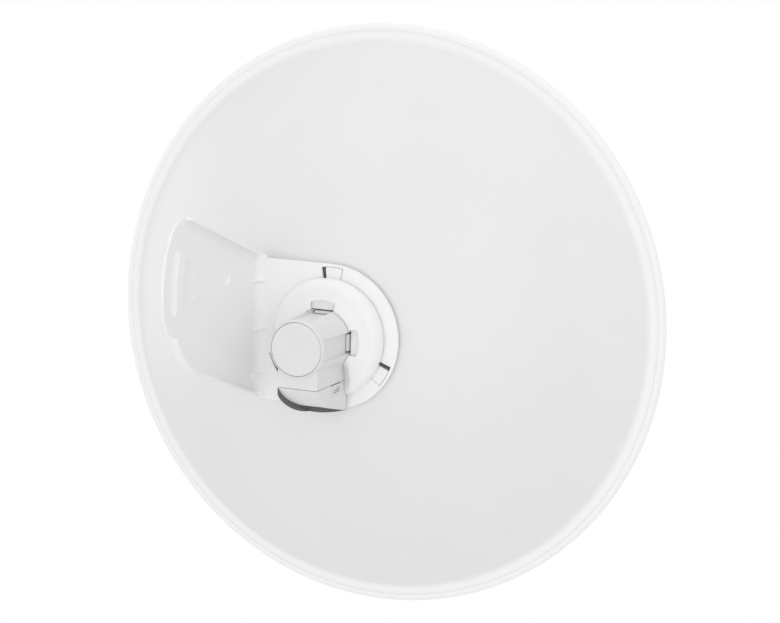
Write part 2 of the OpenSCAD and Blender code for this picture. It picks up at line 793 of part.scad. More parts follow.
reflector();
mount_bracket();
hub_collar();
hub_washer();
hub_plate();
front_bezel();
hub_screws();
latch_ring();
rear_housing();
rear_cap();
cap_gasket();
cable_door();
cable_grommet();
drip_lip();
release_button_left();
release_button_right();
button_spring_left();
button_spring_right();
main_board();
shield_rear();
shield_front();
heat_spreader();
port_shell();
port_insert();
port_contacts();
port_gasket();
reset_button();
reset_switch();
light_pipe();
feed_tube();
feed_radome();
dipole_board();
sub_reflector();
feed_spacers();
feed_oring();
board_screws();
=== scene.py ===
"""Looks of the outdoor wireless bridge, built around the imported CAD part.

Sizes are in millimetres in the dish frame of the part's source: x to the right seen from behind, y up and
b the distance behind the rim plane. to_row turns them into metres in the row frame.
"""

import json
import math

import bmesh
import bpy
from mathutils import Matrix, Vector


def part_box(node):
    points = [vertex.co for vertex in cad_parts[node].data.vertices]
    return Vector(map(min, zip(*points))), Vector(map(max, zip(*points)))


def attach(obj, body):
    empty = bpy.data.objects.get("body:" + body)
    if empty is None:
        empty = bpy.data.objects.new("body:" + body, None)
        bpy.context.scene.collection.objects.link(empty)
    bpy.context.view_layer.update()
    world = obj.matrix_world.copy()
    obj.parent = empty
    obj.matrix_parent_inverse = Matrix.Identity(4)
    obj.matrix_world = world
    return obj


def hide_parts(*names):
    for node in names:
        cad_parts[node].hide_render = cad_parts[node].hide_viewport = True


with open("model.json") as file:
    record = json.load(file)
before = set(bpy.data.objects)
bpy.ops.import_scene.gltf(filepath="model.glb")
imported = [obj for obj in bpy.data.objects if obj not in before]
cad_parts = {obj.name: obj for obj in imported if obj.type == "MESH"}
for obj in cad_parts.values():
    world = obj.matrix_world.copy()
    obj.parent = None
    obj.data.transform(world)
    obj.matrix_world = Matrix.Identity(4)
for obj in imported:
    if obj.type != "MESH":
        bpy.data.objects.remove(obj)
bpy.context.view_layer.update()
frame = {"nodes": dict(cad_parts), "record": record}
nodes = frame["nodes"]

MM = 0.001
RIM_BELOW = 2.5  # how far the lip reaches in front of the rim plane
rim_low, rim_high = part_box("reflector")
AXIS = Vector(((rim_low.x + rim_high.x) / 2, rim_high.y - RIM_BELOW * MM, (rim_low.z + rim_high.z) / 2))


def to_row(x, y, b):
    """Point of the row frame, in metres, from the dish frame's millimetres."""
    return Vector((AXIS.x + x * MM, AXIS.y - b * MM, AXIS.z + y * MM))


def from_row(p):
    """Dish-frame (x, y, b) in millimetres of a point in the row frame."""
    return (p.x - AXIS.x) / MM, (p.z - AXIS.z) / MM, (AXIS.y - p.y) / MM


# ---------------------------------------------------------------- sizes, in millimetres

# Bowl
FOCAL = 130.75
BOWL_DEPTH = 117.49
SHEET = 2
LAND_R = 52
LAND_B = BOWL_DEPTH - LAND_R ** 2 / (4 * FOCAL)
HUB_HOLE_R = 30
BOWL_EDGE_R, RING_OUT_R, RIM_R = 247, 253.1, 259.4
LIP_B = 2.4

# Stack of washer, bracket plate and collar on the bowl's land
STACK_B = round(LAND_B, 2)
WASHER_TOP = STACK_B + 0.4
PLATE_LOW = STACK_B + 0.7
PLATE_TOP = PLATE_LOW + 2.5
FOOT_B = PLATE_TOP + 0.3

# Screws through the hub
SCREW_RING_R = 38
SCREW_ANGLES = (45, 135, 225, 315)
CLEAR_HOLE_R, PILOT_HOLE_R, HEAD_HOLE_R = 2.25, 1.95, 4.0
BOSS_R, BOSS_LOW, BOSS_TOP = 4.5, FOOT_B - 0.6, 128.5
PILOT_LOW, PILOT_TOP = 114.5, 125.8

# Bracket
FLANGE_IN, FLANGE_OUT = -68.6, -71.1
PIVOT_Y, PIVOT_B = 50.5, 172.3
LIP_H, LIP_CORNER = 5, 2.6
EDGE_EASE, FAR_EDGE_EASE, FAR_EDGE_B = 0.35, 0.8, 200
FOLD_IN, FOLD_OUT = 7, 9.5
MATCH = 0.1  # how closely an edge has to lie on a face to be taken as that face's
GUSSET_YS = (43, 1, -40)
GUSSET_REACH, GUSSET_HALF, GUSSET_BEND = 10, 4.2, 2.6
SCALE_X, SCALE_RISE = FLANGE_IN - 0.05, 0.5
TICK_IN_R, TICK_OUT_R, TICK_HALF = 70, 80, 0.35
NUMBER_SIZE = 8.2
# Degrees, then the number's distance from the pivot and its angle
SCALE_NUMBERS = ((20, 59, 20.7), (10, 60.7, 11.1), (0, 54.7, 1.3), (-10, 60.5, -8.1))

# Collar
NECK_R, NECK_IN_R = 47.9, 45.5
FOOT_R, FOOT_TAPER, FOOT_GAP = 50.7, 1.3, 0.5
SHOULDER_B, SHOULDER_W, SHOULDER_H = FOOT_B + 4.4, 9.7, 10.3
DOME_HOLE_R, DOME_TOP_B = 26.85, FOOT_B + 17.8
SHELL_T = 2.4
BORE_R, BORE_LOW, BORE_TOP = 27.3, 122.3, 127.6
SADDLE_X, SADDLE_W = 17.7, 9
SADDLE_TOP_Y, SADDLE_LOW_Y = -13, -25
SADDLE_DROP = 0.47
POCKET_ANGLES = (0, 90, 180)
POCKET_HALF, POCKET_OUT_R, POCKET_B = 10.5, 33.3, DOME_TOP_B - 3.3
LEDGE_IN = 25.5
CHANNEL_FLOOR = 21.8
KEYHOLE_HALF = 17.85
WINDOW_STARTS = (80.2, -38.9)
LUG_OUT_R, LUG_FROM, LUG_SPAN = 59.2, 0.4, 14.7

# Radio and feed
RIM_EASE_B = 181.4
CAP_R, CAP_LOW, CAP_TOP = 22.1, 181.2, 183.2
BEZEL_R, BEZEL_IN_R, BEZEL_T = 48, 31, 3.8
SLEEVE_R, SLEEVE_LEN = 25.9, 14
FEED_R = 23
HEAD_R, HEAD_LOW, HEAD_SIDE, TIP = 30, -16, -52, -58


# ---------------------------------------------------------------- mesh tools

def turned(vector, angle):
    """Flat vector turned by an angle in radians."""
    c, s = math.cos(angle), math.sin(angle)
    return Vector((vector.x * c - vector.y * s, vector.x * s + vector.y * c))


def rounded(outline, radius, arc_step=12):
    """Closed outline with its corners turned into arcs. A third number is that corner's own radius."""
    points = []
    for i, corner in enumerate(outline):
        own = corner[2] if len(corner) > 2 else radius
        here = Vector(corner[:2])
        back = Vector(outline[i - 1][:2]) - here
        onward = Vector(outline[(i + 1) % len(outline)][:2]) - here
        inside = back.angle(onward)
        if own == 0 or inside > math.radians(179):
            points.append(tuple(here))
            continue
        reach = min(own / math.tan(inside / 2), 0.45 * back.length, 0.45 * onward.length)
        own = reach * math.tan(inside / 2)
        bisector = (back.normalized() + onward.normalized()).normalized()
        centre = here + bisector * own / math.sin(inside / 2)
        first = here + back.normalized() * reach - centre
        last = here + onward.normalized() * reach - centre
        sweep = math.atan2(first.x * last.y - first.y * last.x, first.dot(last))
        steps = max(2, math.ceil(abs(math.degrees(sweep)) / arc_step))
        points += [tuple(centre + turned(first, sweep * k / steps)) for k in range(steps + 1)]
    return points


def arc(centre, radius, start, end, steps):
    """Points on an arc, angles in degrees."""
    angles = [math.radians(start + (end - start) * i / steps) for i in range(steps + 1)]
    return [(centre[0] + radius * math.cos(a), centre[1] + radius * math.sin(a)) for a in angles]


def finished_mesh(bm, name):
    bmesh.ops.recalc_face_normals(bm, faces=bm.faces)
    mesh = bpy.data.meshes.new(name)
    bm.to_mesh(mesh)
    bm.free()
    return mesh


def lathe(name, profile, turns=192):
    """Solid turned about the dish axis from a closed profile of (radius, b)."""
    bm = bmesh.new()
    rings = []
    for r, b in profile:
        count = turns if r > 0.001 else 1
        rings.append([bm.verts.new(to_row(r * math.cos(a), r * math.sin(a), b))
                      for a in (2 * math.pi * j / turns for j in range(count))])
    for first, second in zip(rings, rings[1:] + rings[:1]):
        if len(first) + len(second) == 2:
            continue
        for j in range(turns):
            k = (j + 1) % turns
            corners = [first[j % len(first)], first[k % len(first)],
                       second[k % len(second)], second[j % len(second)]]
            bm.faces.new(list(dict.fromkeys(corners)))
    return finished_mesh(bm, name)


def extruded(name, outline, low, high, place):
    """Solid between two copies of an outline; place(u, v, w) puts a point of it in the row frame."""
    bm = bmesh.new()
    ends = [[bm.verts.new(place(u, v, w)) for u, v in outline] for w in (low, high)]
    for end in ends:
        bm.faces.new(end)
    for i in range(len(outline)):
        k = (i + 1) % len(outline)
        bm.faces.new((ends[0][i], ends[0][k], ends[1][k], ends[1][i]))
    return finished_mesh(bm, name)


def along_b(u, v, w):
    return to_row(u, v, w)


def along_x(u, v, w):
    """For outlines of (b, y) drawn from the side."""
    return to_row(w, v, u)


def baked(obj):
    """The object's mesh with its modifiers applied; the object goes."""
    graph = bpy.context.evaluated_depsgraph_get()
    final = obj.evaluated_get(graph)
    mesh = bpy.data.meshes.new_from_object(final, preserve_all_data_layers=True, depsgraph=graph)
    mesh.name = obj.name
    bpy.data.objects.remove(obj)
    return mesh


def scratch_object(mesh):
    obj = bpy.data.objects.new(mesh.name, mesh)
    bpy.context.scene.collection.objects.link(obj)
    return obj


def combined(mesh, tools, operation):
    """mesh with each tool joined on ("UNION") or cut away ("DIFFERENCE")."""
    obj = scratch_object(mesh)
    helpers = [scratch_object(tool) for tool in tools]
    for helper in helpers:
        step = obj.modifiers.new(helper.name, "BOOLEAN")
        step.operation = operation
        step.solver = "EXACT"
        step.object = helper
    result = baked(obj)
    for helper in helpers:
        bpy.data.objects.remove(helper)
    return result


def eased(mesh, width=EDGE_EASE, pick=None, segments=3, sharp=28):
    """mesh with its sharp edges rounded. pick may give an edge's own width from its middle and its run."""
    bm = bmesh.new()
    bm.from_mesh(mesh)
    bmesh.ops.remove_doubles(bm, verts=bm.verts, dist=2e-6)
    bmesh.ops.dissolve_limit(bm, angle_limit=math.radians(0.15), verts=bm.verts, edges=bm.edges)
    layer = bm.edges.layers.float.new("bevel_weight_edge")
    widths = {}
    for edge in bm.edges:
        if edge.is_manifold and edge.calc_face_angle() > math.radians(sharp):
            a, b = (Vector(from_row(v.co)) for v in edge.verts)
            own = pick((a + b) / 2, b - a) if pick else None
            widths[edge] = width if own is None else own
    widest = max(widths.values(), default=width)
    for edge, own in widths.items():
        edge[layer] = own / widest
    soft = bpy.data.meshes.new(mesh.name)
    bm.to_mesh(soft)
    bm.free()
    obj = scratch_object(soft)
    bevel = obj.modifiers.new("ease", "BEVEL")
    bevel.limit_method = "WEIGHT"
    bevel.width = widest * MM
    bevel.segments = segments
    bevel.use_clamp_overlap = False
    bevel.miter_outer = "MITER_ARC"
    return baked(obj)


def smooth(mesh, sharp=35):
    """Smooth shading, but for edges sharper than that many degrees."""
    bm = bmesh.new()
    bm.from_mesh(mesh)
    for face in bm.faces:
        face.smooth = True
    for edge in bm.edges:
        edge.smooth = not edge.is_manifold or edge.calc_face_angle() < math.radians(sharp)
    bm.to_mesh(mesh)
    bm.free()


def add_piece(name, mesh, slot, body, *replaced, weighted=True, finish=None):
    """Finished object in a slot's material, or in another finish of it."""
    smooth(mesh)
    mesh.materials.clear()
    mesh.materials.append(MATERIALS[finish or slot])
    for polygon in mesh.polygons:
        polygon.material_index = 0
    piece = scratch_object(mesh)
    piece.name = name
    if weighted:
        normals = piece.modifiers.new("normals", "WEIGHTED_NORMAL")
        normals.keep_sharp = True
        normals.weight = 60
    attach(piece, body)
    if replaced:
        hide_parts(*replaced)


def cad_copy(node):
    return nodes[node].data.copy()


# ---------------------------------------------------------------- reflector

def bowl_b(r):
    """Distance of the bowl's back surface behind the rim plane."""
    return BOWL_DEPTH - r * r / (4 * FOCAL)


def screw_rods(name, radius, low, high):
    """Round rods at the hub's screws, to cut as holes or to join on as bosses."""
    rods = []
    for angle in SCREW_ANGLES:
        a = math.radians(angle)
        at = (SCREW_RING_R * math.cos(a), SCREW_RING_R * math.sin(a))
        rods.append(extruded(f"{name}_{angle}", arc(at, radius, 0, 345, 23), low, high, along_b))
    return rods


def add_bowl():
    """Pressed bowl: a flat land at the hub, blended into the curve, and a flat ring and a lip at the rim."""
    steps = 40
    radii = [LAND_R + (BOWL_EDGE_R - LAND_R) * i / steps for i in range(steps + 1)]
    back = [(r, bowl_b(r), 90 if i == 0 else 0) for i, r in enumerate(radii)]
    front = [(r, bowl_b(r) - SHEET, 90 if i == 0 else 0) for i, r in enumerate(radii)]
    back[-1] = (*back[-1][:2], 8)
    front[-1] = (*front[-1][:2], 6)
    ring_b = back[-1][1]
    rim = [(RING_OUT_R, ring_b, 0.2), (RING_OUT_R + 0.4, LIP_B, 0.9), (RIM_R - 2.4, LIP_B, 2),
           (RIM_R, 0.2, 2), (RIM_R, -1.4, 0.9), (RIM_R - 1.2, -RIM_BELOW, 0.8),
           (RING_OUT_R + 0.4, -RIM_BELOW, 0.5), (RING_OUT_R, ring_b - SHEET, 0.5)]
    profile = [(HUB_HOLE_R, LAND_B - SHEET, 0.3), (HUB_HOLE_R, LAND_B, 0.3), *back, *rim, *front[::-1]]
    mesh = lathe("bowl", rounded(profile, 0.3), 256)
    mesh = combined(mesh, screw_rods("hole", CLEAR_HOLE_R, LAND_B - 6, LAND_B + 3), "DIFFERENCE")
    # the bowl's paint carries a painted highlight towards the rim
    add_piece("bowl", mesh, "painted_bowl", "antenna", "reflector", weighted=False)


# ---------------------------------------------------------------- bracket

def gusset(y0):
    """Dart pressed into the fold: a rounded ridge across the inner corner."""
    across, along = 12, 14
    corner = (FLANGE_IN, PLATE_TOP)

    def base(t):
        s = (2 * t - 1) * GUSSET_REACH
        if s < 0:
            return Vector((corner[0] - 0.3, corner[1] - s))
        return Vector((corner[0] + s, corner[1] - 0.3))

    def ridge(t):
        start = Vector((corner[0], corner[1] + GUSSET_REACH))
        end = Vector((corner[0] + GUSSET_REACH, corner[1]))
        sag = Vector((-1, -1)) * GUSSET_BEND * 0.35 * math.sin(math.pi * t)
        return start.lerp(end, t) + sag

    bm = bmesh.new()
    grid = []
    for i in range(along + 1):
        t = i / along
        row = []
        for j in range(across + 1):
            u = 2 * j / across - 1
            lift = math.cos(math.pi * u / 2) ** 1.6 if abs(u) < 1 else 0
            p = base(t).lerp(ridge(t), lift)
            half = GUSSET_HALF * (0.55 + 0.45 * math.sin(math.pi * t))
            row.append(bm.verts.new(to_row(p.x, y0 + u * half, p.y)))
        grid.append(row)
    low = [[bm.verts.new(to_row(base(i / along).x - 0.5, y0 + (2 * j / across - 1) * GUSSET_HALF * 0.5,
                                base(i / along).y - 0.5)) for j in (0, across)] for i in range(along + 1)]
    for i in range(along):
        for j in range(across):
            bm.faces.new((grid[i][j], grid[i + 1][j], grid[i + 1][j + 1], grid[i][j + 1]))
        bm.faces.new((grid[i][0], low[i][0], low[i + 1][0], grid[i + 1][0]))
        bm.faces.new((grid[i][-1], grid[i + 1][-1], low[i + 1][1], low[i][1]))
        bm.faces.new((low[i][0], low[i][1], low[i + 1][1], low[i + 1][0]))
    bm.faces.new([*grid[0], low[0][1], low[0][0]])
    bm.faces.new([*grid[-1][::-1], low[-1][0], low[-1][1]])
    return finished_mesh(bm, "gusset")


def bracket_edge_width(middle, run):
    """How far each of the bracket's edges is rounded: wide at the folds, narrow at sheet edges."""
    x, _, b = middle
    folded = abs(run.y) > 0.9 * run.length and run.length > 20
    if folded and abs(x - FLANGE_OUT) < MATCH and abs(b - PLATE_LOW) < MATCH:
        return FOLD_OUT
    if folded and abs(x - FLANGE_IN) < MATCH and abs(b - PLATE_TOP) < MATCH:
        return FOLD_IN
    if run.length < 3 and abs(x - FLANGE_IN - LIP_H) < MATCH:
        return LIP_CORNER
    if b > FAR_EDGE_B and x < FLANGE_IN + MATCH:
        return FAR_EDGE_EASE
    return None


def tick(degrees):
    """Raised line of the scale, longer at every tenth degree."""
    a = math.radians(degrees)
    inner = TICK_IN_R - 2 if degrees % 10 == 0 else TICK_IN_R
    side = Vector((-math.sin(a), math.cos(a))) * TICK_HALF
    ends = [Vector((math.cos(a), math.sin(a))) * r for r in (inner, TICK_OUT_R)]
    corners = (ends[0] - side, ends[1] - side, ends[1] + side, ends[0] + side)
    outline = [(PIVOT_B + p.x, PIVOT_Y + p.y) for p in corners]
    return extruded("tick", outline, SCALE_X, SCALE_X + SCALE_RISE, along_x)


def number(degrees, radius, angle):
    """Raised generic number of the scale, upright on the flange."""
    curve = bpy.data.curves.new("number", "FONT")
    curve.body = str(degrees)
    curve.size = NUMBER_SIZE
    curve.extrude = SCALE_RISE / 2
    curve.align_x = "CENTER"
    curve.align_y = "CENTER"
    curve.resolution_u = 3
    obj = bpy.data.objects.new("number", curve)
    bpy.context.scene.collection.objects.link(obj)
    mesh = baked(obj)
    a = math.radians(angle)
    for vertex in mesh.vertices:
        u, v, w = vertex.co
        vertex.co = to_row(SCALE_X + SCALE_RISE / 2 + w, PIVOT_Y + radius * math.sin(a) + v,
                           PIVOT_B + radius * math.cos(a) - u)
    return mesh


def scale_marks():
    """Raised degree scale beside the arc slot."""
    return [tick(degrees) for degrees in range(-10, 21, 2)] + [number(*row) for row in SCALE_NUMBERS]


def joined(name, meshes):
    """One mesh of several, left apart inside it."""
    bm = bmesh.new()
    for mesh in meshes:
        bm.from_mesh(mesh)
    return finished_mesh(bm, name)


def add_bracket():
    """Folded sheet with rounded folds, stiffening lips, pressed gussets and a raised degree scale."""
    sheet = eased(cad_copy("mount_bracket"), pick=bracket_edge_width, segments=4)
    sheet = combined(sheet, [gusset(y) for y in GUSSET_YS], "UNION")
    add_piece("bracket_sheet", sheet, "painted_bracket", "bracket", "mount_bracket")
    add_piece("bracket_scale", joined("bracket_scale", scale_marks()), "painted_bracket", "bracket")


# ---------------------------------------------------------------- hub

def ramp(value, start, end):
    """Smooth step from 0 at start to 1 at end."""
    t = min(max((value - start) / (end - start), 0), 1)
    return t * t * (3 - 2 * t)


def shoulder_arc(width, height, counts, steps):
    """Quarter of an ellipse at the dome's shoulder."""
    turns = (math.pi / 2 * i / steps for i in counts)
    return [(FOOT_R - SHOULDER_W + width * math.cos(t), SHOULDER_B + height * math.sin(t), 0) for t in turns]


def collar_profile():
    """Section of the dome, from the neck in the bracket over the shoulder to the opening for the tube."""
    inner_r = FOOT_R - SHOULDER_W
    steps = 14
    outer = shoulder_arc(SHOULDER_W, SHOULDER_H, range(steps), steps)
    rise = DOME_TOP_B - SHOULDER_B - SHOULDER_H
    parts = 9
    span = inner_r - DOME_HOLE_R
    ridge = [(inner_r - span * i / parts, SHOULDER_B + SHOULDER_H + rise * ramp(i, 0, parts), 0)
             for i in range(parts)]
    ridge_under = [(r, b - SHELL_T, 0) for r, b, _ in ridge[:0:-1]]
    inner = shoulder_arc(SHOULDER_W - 2 * SHELL_T, SHOULDER_H - SHELL_T, range(steps, -1, -1), steps)
    return [(NECK_IN_R, WASHER_TOP, 0.2), (NECK_R, WASHER_TOP, 0.2), (NECK_R, FOOT_B + FOOT_GAP, 0.1),
            (FOOT_R - FOOT_TAPER, FOOT_B + FOOT_GAP, 0.3), *outer, *ridge, (DOME_HOLE_R - 0.6, DOME_TOP_B, 0),
            (DOME_HOLE_R - 0.6, DOME_TOP_B - SHELL_T, 0), *ridge_under, *inner]


def saddled(mesh):
    """Draws the dome down to the sides of the radio's box."""
    for vertex in mesh.vertices:
        x, y, b = from_row(vertex.co)
        if b > FOOT_B:
            near = 1 - ramp(abs(x), SADDLE_X, SADDLE_X + SADDLE_W)
            drop = SADDLE_DROP * near * ramp(y, SADDLE_TOP_Y, SADDLE_LOW_Y) * (b - FOOT_B)
            vertex.co = to_row(x, y, b - drop)
    return mesh


def about_axis(outline, angle):
    """The outline turned round the dish axis, in degrees."""
    a = math.radians(angle)
    return [tuple(turned(Vector(p), a)) for p in outline]


def throat_outline():
    """Round opening for the tube, with a flat ledge below each latch window."""
    circle = arc((0, 0), DOME_HOLE_R, 0, 358.5, 239)
    return [(min(max(u, -LEDGE_IN), LEDGE_IN), min(v, LEDGE_IN)) for u, v in circle]


def lug_outline(start):
    """Bayonet lug in the window that starts at that angle, with rounded corners."""
    first = start + LUG_FROM
    last = first + LUG_SPAN
    steps = 8
    outline = arc((0, 0), NECK_IN_R + 0.3, first, last, steps) + arc((0, 0), LUG_OUT_R, last, first, steps)
    corners = (0, steps, steps + 1, 2 * steps + 1)
    return rounded([(*p, 1.2 if i in corners else 0) for i, p in enumerate(outline)], 0)


def add_collar():
    """Domed collar with three scalloped latch pockets, the opening for the radio and two bayonet lugs."""
    mesh = saddled(lathe("collar", rounded(collar_profile(), 0.3), 240))
    edge = math.degrees(math.asin(POCKET_HALF / POCKET_OUT_R))
    pocket = [(CHANNEL_FLOOR, -POCKET_HALF), *arc((0, 0), POCKET_OUT_R, -edge, edge, 10),
              (CHANNEL_FLOOR, POCKET_HALF)]
    pad_out, pad_half = POCKET_OUT_R + 1.2, POCKET_HALF + 1.5
    pad = [(LEDGE_IN, -pad_half), (pad_out, -pad_half), (pad_out, pad_half), (LEDGE_IN, pad_half)]
    over = DOME_TOP_B + 5
    pockets = [extruded("pocket", about_axis(pocket, a), POCKET_B, over, along_b) for a in POCKET_ANGLES]
    floors = [extruded("pocket_floor", about_axis(pad, a), POCKET_B - 2.2, POCKET_B + 0.4, along_b)
              for a in POCKET_ANGLES]
    lugs = [extruded("lug", lug_outline(start), WASHER_TOP, FOOT_B + 0.15, along_b)
            for start in WINDOW_STARTS]
    bosses = screw_rods("boss", BOSS_R, BOSS_LOW, BOSS_TOP)
    mesh = combined(mesh, floors + lugs + bosses, "UNION")
    keyhole = [(-KEYHOLE_HALF, -80), (KEYHOLE_HALF, -80), (KEYHOLE_HALF, 0), (-KEYHOLE_HALF, 0)]
    openings = [extruded("keyhole", keyhole, FOOT_B, over, along_b),
                extruded("bore", arc((0, 0), BORE_R, 0, 357, 119), BORE_LOW, BORE_TOP, along_b),
                extruded("throat", throat_outline(), BORE_LOW, over, along_b)]
    pilots = screw_rods("hole", PILOT_HOLE_R, PILOT_LOW, PILOT_TOP)
    mesh = combined(mesh, pockets + openings + pilots, "DIFFERENCE")
    add_piece("collar", eased(mesh), "shell_plastic", "antenna", "hub_collar", finish="collar_plastic")


def housing_edge_width(middle, _run):
    """The tube's rim is well rounded outside and crisp round the cap."""
    x, y, b = middle
    if math.hypot(x, y) > 25 or b < RIM_EASE_B - MATCH:
        return None
    return 0.95 if b < RIM_EASE_B + MATCH else 0.15


def add_rear_radio():
    """Rear housing with its round cap, cable cover, release pads and rubber lip."""
    housing = eased(cad_copy("rear_housing"), 0.5, housing_edge_width)
    add_piece("radio_housing", housing, "shell_plastic", "antenna", "rear_housing")
    cap = [(0, CAP_LOW), (CAP_R, CAP_LOW, 0.2), (CAP_R, CAP_TOP - 0.25, 0.2),
           (CAP_R - 0.9, CAP_TOP - 0.25, 0.15), (CAP_R - 1.1, CAP_TOP, 0.2), (0, CAP_TOP)]
    add_piece("radio_cap", lathe("radio_cap", rounded(cap, 0), 128), "shell_plastic", "antenna", "rear_cap")
    add_piece("cable_cover", eased(cad_copy("cable_door"), 0.3), "shell_plastic", "cover", "cable_door")
    add_piece("rubber_lip", eased(cad_copy("drip_lip"), 0.3), "rubber", "cover", "drip_lip")
    for side in ("left", "right"):
        add_piece(f"release_pad_{side}", eased(cad_copy(f"release_button_{side}"), 0.2, segments=2),
                  "shell_plastic", f"pad_{side}", f"release_button_{side}")


# ---------------------------------------------------------------- front

def add_bezel():
    """Ring with a sleeve for the feed on the bowl's front face."""
    front = LAND_B - SHEET
    low = front - SLEEVE_LEN
    profile = [(FEED_R + 0.3, front, 0.2), (BEZEL_R, front, 0.2), (BEZEL_R, front - 2.4, 1.8),
               (BEZEL_R - 2.2, front - BEZEL_T, 1.8), (BEZEL_IN_R, front - BEZEL_T, 3),
               (SLEEVE_R, front - 6, 2.5), (SLEEVE_R, low, 1), (FEED_R + 0.3, low, 0.6)]
    mesh = lathe("bezel", rounded(profile, 0.3), 160)
    holes = screw_rods("hole", CLEAR_HOLE_R, front - 12, front + 3)
    sinks = screw_rods("sink", HEAD_HOLE_R, front - 12, front - 1.6)
    mesh = combined(mesh, holes + sinks, "DIFFERENCE")
    add_piece("bezel", eased(mesh, 0.3), "shell_plastic", "antenna", "front_bezel")


def dome_arc(radius, tip, counts, steps):
    """Quarter of an ellipse from the radome's side to its tip."""
    turns = (math.pi / 2 * i / steps for i in counts)
    return [(radius * math.cos(t), HEAD_SIDE + (tip - HEAD_SIDE) * math.sin(t), 0) for t in turns]


def add_radome():
    """Domed cap of the feed, with a narrow groove round it."""
    inner = HEAD_R - 2
    steps = 24
    dome = dome_arc(HEAD_R, TIP, range(steps), steps)
    hollow = dome_arc(inner, TIP + 2, range(steps // 2 - 1, -1, -1), steps // 2)
    profile = [(HEAD_R, HEAD_LOW, 0.4), (HEAD_R, HEAD_LOW - 6, 0.2), (HEAD_R - 0.5, HEAD_LOW - 6.4, 0.2),
               (HEAD_R - 0.5, HEAD_LOW - 7.2, 0.2), (HEAD_R, HEAD_LOW - 7.6, 0.2), *dome,
               (0, TIP, 0), (0, TIP + 2, 0), *hollow, (inner, HEAD_LOW, 0.3)]
    add_piece("radome", lathe("radome", rounded(profile, 0), 128), "shell_plastic", "antenna", "feed_radome")


def add_front():
    """Bezel, radome and feed tube on the dish axis."""
    add_bezel()
    add_radome()
    add_piece("feed_pipe", eased(cad_copy("feed_tube"), 0.4), "shell_plastic", "antenna", "feed_tube")


# ---------------------------------------------------------------- camera, light and floor

CAM_AZIMUTH = math.radians(22.29)
CAM_ELEVATION = math.radians(9.686)
CAM_ROLL = math.radians(1.849)
CAM_DISTANCE = 1.9306
CAM_RIGHT, CAM_UP = -0.00618, -0.00481
CAM_LENS = 100.0

# Name, direction it comes from, strength and spread in degrees
SOFT_LIGHTS = (
    ("key", (0.69, -0.58, 0.42), 0.3, 60),
    ("left", (-0.96, -0.26, 0.09), 0.11, 60),
    ("edge", (-0.97, 0.26, 0), 0.34, 40),
    ("back", (0.1, -1, -0.1), 0.54, 60),
)
SKY_STRENGTH = 1.27
SKY_LOW, SKY_RING, SKY_HIGH = 0.25, 0.55, 1
FLOOR_HALF, FLOOR_DROP = 4, 2.7


def add_camera():
    """Camera at the fitted angle, aimed by its distance and offsets from the rim's centre."""
    back = Vector((math.sin(CAM_AZIMUTH) * math.cos(CAM_ELEVATION),
                   -math.cos(CAM_AZIMUTH) * math.cos(CAM_ELEVATION), math.sin(CAM_ELEVATION)))
    level = (-back).cross(Vector((0, 0, 1))).normalized()
    upright = level.cross(-back)
    right = level * math.cos(CAM_ROLL) + upright * math.sin(CAM_ROLL)
    up = upright * math.cos(CAM_ROLL) - level * math.sin(CAM_ROLL)
    camera = bpy.data.objects.new("camera", bpy.data.cameras.new("camera"))
    bpy.context.scene.collection.objects.link(camera)
    camera.data.lens = CAM_LENS
    camera.data.sensor_width = 36
    camera.data.clip_end = 60
    place = Matrix((right, up, back)).transposed().to_4x4()
    place.translation = AXIS + back * CAM_DISTANCE - right * CAM_RIGHT - up * CAM_UP
    camera.matrix_world = place
    bpy.context.scene.camera = camera


def add_soft_light(name, toward, strength, spread):
    """Very wide distant light from direction toward, as even as a large soft box; spread in degrees."""
    light = bpy.data.objects.new(name, bpy.data.lights.new(name, "SUN"))
    bpy.context.scene.collection.objects.link(light)
    light.data.energy = strength
    light.data.angle = math.radians(spread)
    light.rotation_mode = "QUATERNION"
    light.rotation_quaternion = Vector(toward).normalized().to_track_quat("Z", "Y")


def add_sky(world):
    """Soft light from all round, with its own levels straight down and straight up. It's seen as white."""
    tree = world.node_tree
    background = tree.nodes["Background"]
    seen = tree.nodes.new("ShaderNodeLightPath")
    strength = tree.nodes.new("ShaderNodeMapRange")
    strength.inputs["To Min"].default_value = SKY_STRENGTH
    strength.inputs["To Max"].default_value = 1 / SKY_RING
    tree.links.new(seen.outputs["Is Camera Ray"], strength.inputs["Value"])
    tree.links.new(strength.outputs["Result"], background.inputs["Strength"])
    place = tree.nodes.new("ShaderNodeTexCoord")
    split = tree.nodes.new("ShaderNodeSeparateXYZ")
    height = tree.nodes.new("ShaderNodeMapRange")
    height.inputs["From Min"].default_value = -1
    bands = tree.nodes.new("ShaderNodeValToRGB")
    bands.color_ramp.elements.new(0.18)
    bands.color_ramp.elements.new(0.82)
    for element, level in zip(bands.color_ramp.elements, (SKY_LOW, SKY_RING, SKY_RING, SKY_HIGH)):
        element.color = (level, level, level, 1)
    tree.links.new(place.outputs["Generated"], split.inputs["Vector"])
    tree.links.new(split.outputs["Z"], height.inputs["Value"])
    tree.links.new(height.outputs["Result"], bands.inputs["Fac"])
    tree.links.new(bands.outputs["Color"], background.inputs["Color"])


def add_studio():
    """Plain soft studio: an even white surround and four wide lights."""
    scene = bpy.context.scene
    scene.view_settings.view_transform = "Standard"
    world = bpy.data.worlds.new("studio")
    world.use_nodes = True
    add_sky(world)
    scene.world = world
    for light in SOFT_LIGHTS:
        add_soft_light(*light)


